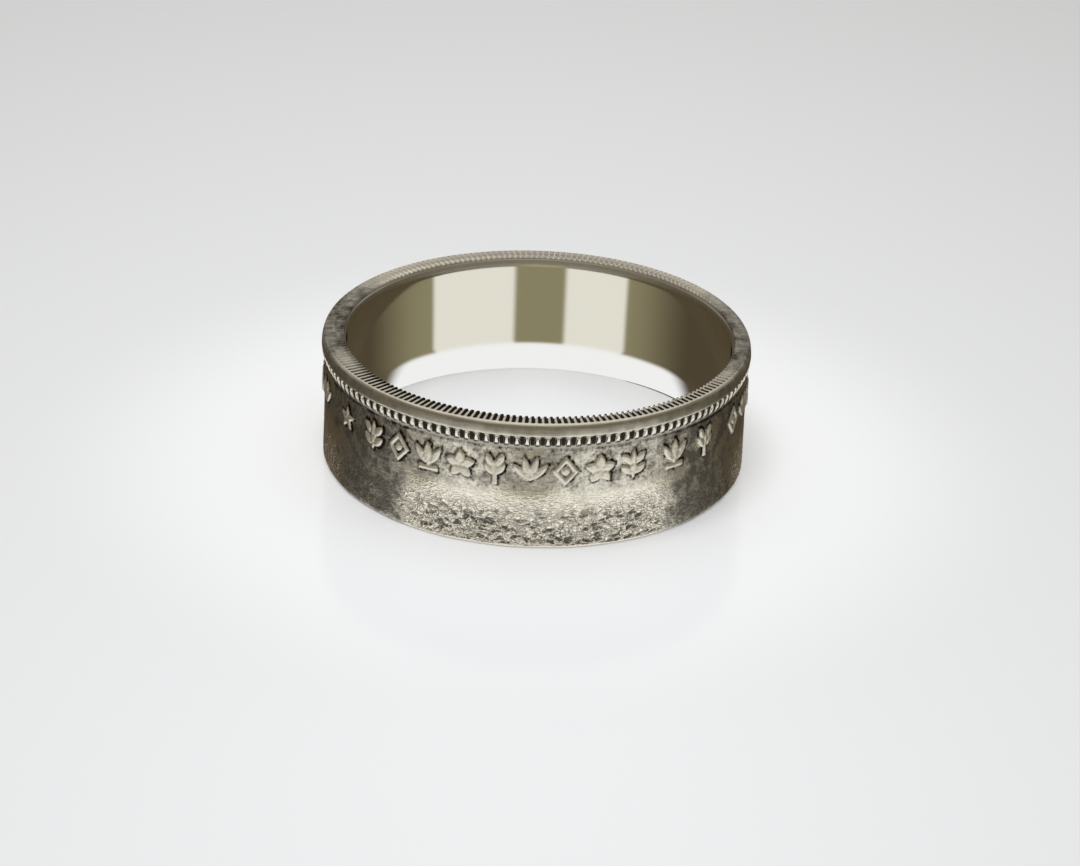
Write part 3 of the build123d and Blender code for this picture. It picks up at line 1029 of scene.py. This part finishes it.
# %% Film and grooves on the top, and all tarnish together
far_dull = add(paint, RANGE, [far_side, math.radians(50), math.radians(78), 0, 1], **SMOOTH)
back_clean = add(paint, RANGE, [far_side, math.radians(105), math.radians(140), 1, 0.22],
                 **SMOOTH)
dull_spots = add(paint, RANGE, [blotch_noise, 0.38, 0.62, 0.60, 0.90])
top_film = overlap(paint, far_dull, on_top, back_clean, dull_spots, outside_bore)
groove_side = add(paint, MATH, [far_dull, -0.84, 0.99], operation="MULTIPLY_ADD")
groove_back = add(paint, RANGE, [far_side, math.radians(105), math.radians(130), 0, 0.28])
groove_left = add(paint, MATH, [groove_side, groove_back], operation="ADD")
groove_black = overlap(paint, groove, groove_left)
notch_brown = overlap(paint, notch_black, 0.97)
tarnish = face_tarnish
for mark in (groove_black, top_film, notch_brown):
    tarnish = add(paint, MATH, [tarnish, mark], operation="MAXIMUM", use_clamp=True)

# %% Colour and roughness
cone_share = add(paint, RANGE, [level, mm(cone_full), mm(cone_top), 1, 0])
bore_colour = add(paint, MIX, {0: cone_share, 6: colour("#E9E6DF"), 7: colour("#EFEFF0")},
                  **RGBA).outputs[2]
clean_colour = add(paint, MIX, {0: polished, 6: colour("#F6F1E6"), 7: bore_colour},
                   **RGBA).outputs[2]
metal_colour = add(paint, MIX, {0: tarnish, 6: clean_colour, 7: colour("#261E1A")},
                   **RGBA).outputs[2]
aged_rough = add(paint, RANGE, [tarnish, 0, 1, 0.16, 0.55])
plain_rough = add(paint, RANGE, [struck_mark, 0, 1, 0.05, 0])
outer_rough = add(paint, MATH, [aged_rough, plain_rough], operation="ADD")
worn_rough = add(paint, MATH, [rubbed, 0.26, outer_rough], operation="MULTIPLY_ADD")
lip = add(paint, RANGE, [level, mm(bore_end) + 0.05, mm(bore_end) + 0.25, 0.07, 0.34])
metal_rough = add(paint, MIX, {0: polished, 2: worn_rough, 3: lip})

# %% [markdown]
# ### Height for the bump
#
# What is too fine for the mesh is added as bump, with its height in millimetres: the grain
# of the worn face, streaks along the rim, wrinkles, the sharp edges and tilts of the foil's
# ridges and facets, and the rounded shoulders of the denticles. The sag turns the crumpled
# wall a little towards the floor, because the squeezed metal tucks in at the foot.

# %% Grain, streaks, wrinkles, facets and shoulders
grain_field = add(paint, RANGE, [struck_mark, 0, 1, 0.3, 1.0])
grain_here = overlap(paint, grain_noise, 0.012, grain_field)
streak_place = add(paint, VECTOR, [spot_mm, (1.0, 1.0, 12.0)], operation="MULTIPLY")
streak_noise = add(paint, NOISE, {"Vector": streak_place, "Scale": 1.2, "Detail": 3.0})
facet_here = overlap(paint, foil_facet, crumple_mark)
sag = add(paint, MATH, [level, 3.0], operation="SUBTRACT")
sag_here = overlap(paint, sag, crumple_mark)
shoulder = add(paint, RANGE, [notch_away, notch_end - 0.02, notch_end + 0.08, 0, 1], **SMOOTH)
shoulder_here = overlap(paint, shoulder, notch_low, notch_wall)
fine_height = grain_here
for mark, rise_mm in (
        (streak_noise, 0.008),
        (wrinkle_and_highlight, 0.016),
        (ridge_and_highlight, 0.032),
        (facet_here, 0.11),
        (sag_here, 0.075),
        (shoulder_here, 0.05)):
    fine_height = add(paint, MATH, [mark, rise_mm, fine_height], operation="MULTIPLY_ADD")
bump_height = overlap(paint, fine_height, unpolished)

# %% The metal's shader
bump = add(paint, "ShaderNodeBump", {"Strength": 1.0, "Distance": MM, "Height": bump_height})
metal = add(paint, "ShaderNodeBsdfPrincipled",
            {"Base Color": metal_colour, "Metallic": 1.0, "Roughness": metal_rough,
             "Normal": bump})
add(paint, "ShaderNodeOutputMaterial", [metal])
print("nodes in the silver:", len(paint.nodes))

# %% [markdown]
# ## Make the band
#
# The modifier's inputs are set by their identifiers. The evaluated result becomes a plain
# mesh, and the flat parts that it was made from are deleted.

# %% Band
blank = bpy.data.objects.new("blank", bpy.data.meshes.new("blank"))
bpy.context.scene.collection.objects.link(blank)
rolling = blank.modifiers.new("strike_mill_and_roll", "NODES")
rolling.node_group = tree
for name, (kind, value) in band_inputs.items():
    rolling[socket_of[name]] = silver if name == "Metal" else value
bpy.context.view_layer.update()
evaluated = blank.evaluated_get(bpy.context.evaluated_depsgraph_get())
band_mesh = bpy.data.meshes.new_from_object(evaluated)
band_mesh.name = "struck_band"
for helper in [blank, profile, ornament_line, *die.objects]:
    bpy.data.objects.remove(helper)
bpy.data.collections.remove(die)
struck_band = bpy.data.objects.new("struck_band", band_mesh)
bpy.context.scene.collection.objects.link(struck_band)

# %% Faces outwards, and its place in the frame
shape = bmesh.new()
shape.from_mesh(band_mesh)
open_edges = sum(1 for edge in shape.edges if len(edge.link_faces) != 2)
bmesh.ops.recalc_face_normals(shape, faces=shape.faces)
shape.to_mesh(band_mesh)
print("band faces:", len(shape.faces), "open edges:", open_edges,
      "volume, mm3:", round(shape.calc_volume() / MM ** 3, 1))
shape.free()
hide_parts("ring_band")
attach(struck_band, "root")

# %% [markdown]
# ## Floor
#
# A plain pale sheet of satin acrylic, far larger than the view. Its colour carries painted
# light: a painted glow round the ring that lifts the ring's shadow, and a painted fall-off
# of light that makes it greyer far off. It is hidden from the metal's reflections, so that
# those that look down come from the studio's white and not from a sheet with the ring's own
# shadow on it.

# %% Floor's finish
floor_paint = bpy.data.materials.new("satin_white_acrylic")
floor_paint.use_nodes = True
sheet_tree = floor_paint.node_tree
sheet_tree.nodes.clear()
floor_spot = add(sheet_tree, "ShaderNodeTexCoord").outputs["Object"]
floor_place = add(sheet_tree, VECTOR, [floor_spot, (0, 20 * MM, 0)], operation="ADD")
floor_wide = add(sheet_tree, VECTOR, [floor_place, (2, 1, 0)], operation="MULTIPLY")
floor_distance = add(sheet_tree, VECTOR, [floor_wide], operation="LENGTH").outputs["Value"]
# Painted fall-off of light: the floor's colour turns greyer away from the ring.
painted_light_falloff = add(sheet_tree, RANGE, [floor_distance, 10 * MM, 150 * MM, 0, 1])
floor_colour_with_painted_falloff = add(sheet_tree, MIX, {0: painted_light_falloff, 6: colour("#F4F5F7"), 7: colour("#D2D3D5")},
                   **RGBA).outputs[2]
from_ring = add(sheet_tree, VECTOR, [floor_spot], operation="LENGTH").outputs["Value"]
# Painted glow: emission round the ring that lifts the ring's shadow on the floor.
painted_glow_round_ring = add(sheet_tree, RANGE, [from_ring, 9 * MM, 26 * MM, 0.16, 0], **SMOOTH)
acrylic = add(sheet_tree, "ShaderNodeBsdfPrincipled",
              {"Base Color": floor_colour_with_painted_falloff, "Roughness": 0.14, "Emission Color": (1, 1, 1, 1),
               "Emission Strength": painted_glow_round_ring})
add(sheet_tree, "ShaderNodeOutputMaterial", [acrylic])

# %% Floor's sheet
floor_size = 1.5                # metres from its middle to each side
floor_mesh = bpy.data.meshes.new("floor")
floor_mesh.from_pydata([(-floor_size, -floor_size, 0), (floor_size, -floor_size, 0),
                        (floor_size, floor_size, 0), (-floor_size, floor_size, 0)],
                       [], [(0, 1, 2, 3)])
floor_mesh.materials.append(floor_paint)
floor = bpy.data.objects.new("floor", floor_mesh)
bpy.context.scene.collection.objects.link(floor)
floor.visible_glossy = False
print("floor, m wide:", 2 * floor_size)

# %% [markdown]
# ## Studio
#
# Metal looks like what is round it. The ring is seen from above, so its upright walls mirror
# what lies under the horizon. The world is a studio by direction: olive walls that turn brown
# to the sides, two tall soft panels beside the camera, a paler band round the horizon, a grey
# sky that is white overhead, and white below. The panels are the cream bars inside the ring
# and the bright parts of its front, the gap between them is the olive bar, and the white
# below is the white at the hole's foot. A ray that has met metal twice sees a brown depth or,
# behind, a pale one, and the view itself sees a plain pale grey.

# %% Directions
world = bpy.data.worlds.new("studio")
bpy.context.scene.world = world
world.use_nodes = True
sky = world.node_tree
sky.nodes.clear()
look = add(sky, "ShaderNodeTexCoord").outputs["Generated"]
look_part = add(sky, PARTS, [look]).outputs
look_back = add(sky, MATH, [look_part["Y"], -1], operation="MULTIPLY")
azimuth = add(sky, MATH, [look_part["X"], look_back], operation="ARCTAN2")
azimuth_degrees = add(sky, MATH, [azimuth, 180 / math.pi], operation="MULTIPLY")
azimuth_size = add(sky, MATH, [azimuth_degrees], operation="ABSOLUTE")
rise = look_part["Z"]           # sine of the elevation
ray = add(sky, "ShaderNodeLightPath").outputs

# %% Two panels beside the camera
PANEL = ("from", "to")
PANELS = [
    (16, 69),
    (-54, -15),
]
panel_soft = 1.5                # degrees
panel_light = 0
for values in PANELS:
    panel = dict(zip(PANEL, values))
    middle = (panel["from"] + panel["to"]) / 2
    half = (panel["to"] - panel["from"]) / 2
    away = add(sky, MATH, [azimuth_degrees, middle], operation="SUBTRACT")
    away_size = add(sky, MATH, [away], operation="ABSOLUTE")
    lit = add(sky, RANGE, [away_size, half - panel_soft, half + panel_soft, 1, 0])
    panel_light = add(sky, MATH, [panel_light, lit], operation="MAXIMUM")
panel_high = add(sky, RANGE, [rise, -0.24, -0.10, 1, 0], **SMOOTH)
panel_part = overlap(sky, panel_light, panel_high)
print("panels:", len(PANELS))

# %% Colours that change with the direction or the kind of ray
turned = add(sky, MATH, [azimuth_degrees, 12], operation="SUBTRACT")
turned_size = add(sky, MATH, [turned], operation="ABSOLUTE")
to_side = add(sky, RANGE, [turned_size, 60, 118, 0, 1], **SMOOTH)
aside = add(sky, RANGE, [azimuth_size, 40, 95, 0, 1], **SMOOTH)
behind = add(sky, RANGE, [azimuth_size, 140, 165, 0, 1], **SMOOTH)
back_sky = add(sky, RANGE, [azimuth_size, 95, 140, 0, 1], **SMOOTH)
diffuse_white = (0.95, 0.97, 1.0, 1.0)
wall_colour, front_horizon, sky_colour, zenith, depths = [
    add(sky, MIX, {0: share, 6: first, 7: second}, **RGBA).outputs[2]
    for share, first, second in (
        (to_side, colour("#938E71"), colour("#544A3A")),
        (aside, colour("#A19986"), colour("#6E675A")),
        (back_sky, colour("#787263"), colour("#CBC7BF")),
        (ray["Is Diffuse Ray"], colour("#EDEAE0"), diffuse_white),
        (behind, colour("#5C5240"), colour("#C9BFA7")))]
horizon = add(sky, MIX, {0: behind, 6: front_horizon, 7: colour("#C9BFA7")}, **RGBA).outputs[2]

# %% Heights at which one gives way to the next
to_horizon = add(sky, RANGE, [rise, -0.34, -0.20, 0, 1], **SMOOTH)
to_sky = add(sky, RANGE, [rise, 0.00, 0.16, 0, 1], **SMOOTH)
to_zenith = add(sky, RANGE, [rise, 0.50, 0.85, 0, 1], **SMOOTH)
white_edge = add(sky, RANGE, [azimuth_size, 84, 134, -0.465, -0.61], **SMOOTH)
under_edge = add(sky, MATH, [white_edge, rise], operation="SUBTRACT")
to_white = add(sky, RANGE, [under_edge, 0, 0.11, 0, 1], **SMOOTH)
met_twice = add(sky, MATH, [ray["Glossy Depth"], 1.5], operation="GREATER_THAN")

# %% The studio, laid over the walls one after the other
studio = wall_colour
for share, cover in (
        (to_horizon, horizon),
        (panel_part, colour("#F5F5ED")),
        (to_sky, sky_colour),
        (to_zenith, zenith),
        (to_white, colour("#FFFFFD")),
        (met_twice, depths),
        (ray["Is Camera Ray"], colour("#DEDEDE"))):
    studio = add(sky, MIX, {0: share, 6: studio, 7: cover}, **RGBA).outputs[2]
backdrop = add(sky, "ShaderNodeBackground", [studio, 1.0])
add(sky, "ShaderNodeOutputWorld", [backdrop])
print("nodes in the studio:", len(sky.nodes))

# %% [markdown]
# ## Soft light overhead
#
# One broad disk of light, above and a little to the left, gives the ring its soft shadow.
# It is hidden from reflections, because the panels and the sky already draw them.

# %% Softbox
softbox_place = Vector((-0.03, -0.05, 0.25))
softbox_data = bpy.data.lights.new("softbox", "AREA")
softbox_data.shape = "DISK"
softbox_data.size = 0.12
softbox_data.energy = 0.22
softbox = bpy.data.objects.new("softbox", softbox_data)
softbox.location = softbox_place
softbox.rotation_euler = softbox_place.to_track_quat("Z", "Y").to_euler()
softbox.visible_glossy = False
bpy.context.scene.collection.objects.link(softbox)
print("softbox at, mm:", [round(mm(place)) for place in softbox_place])

bpy.context.scene.view_settings.view_transform = "Standard"
bpy.context.scene.view_settings.look = "None"
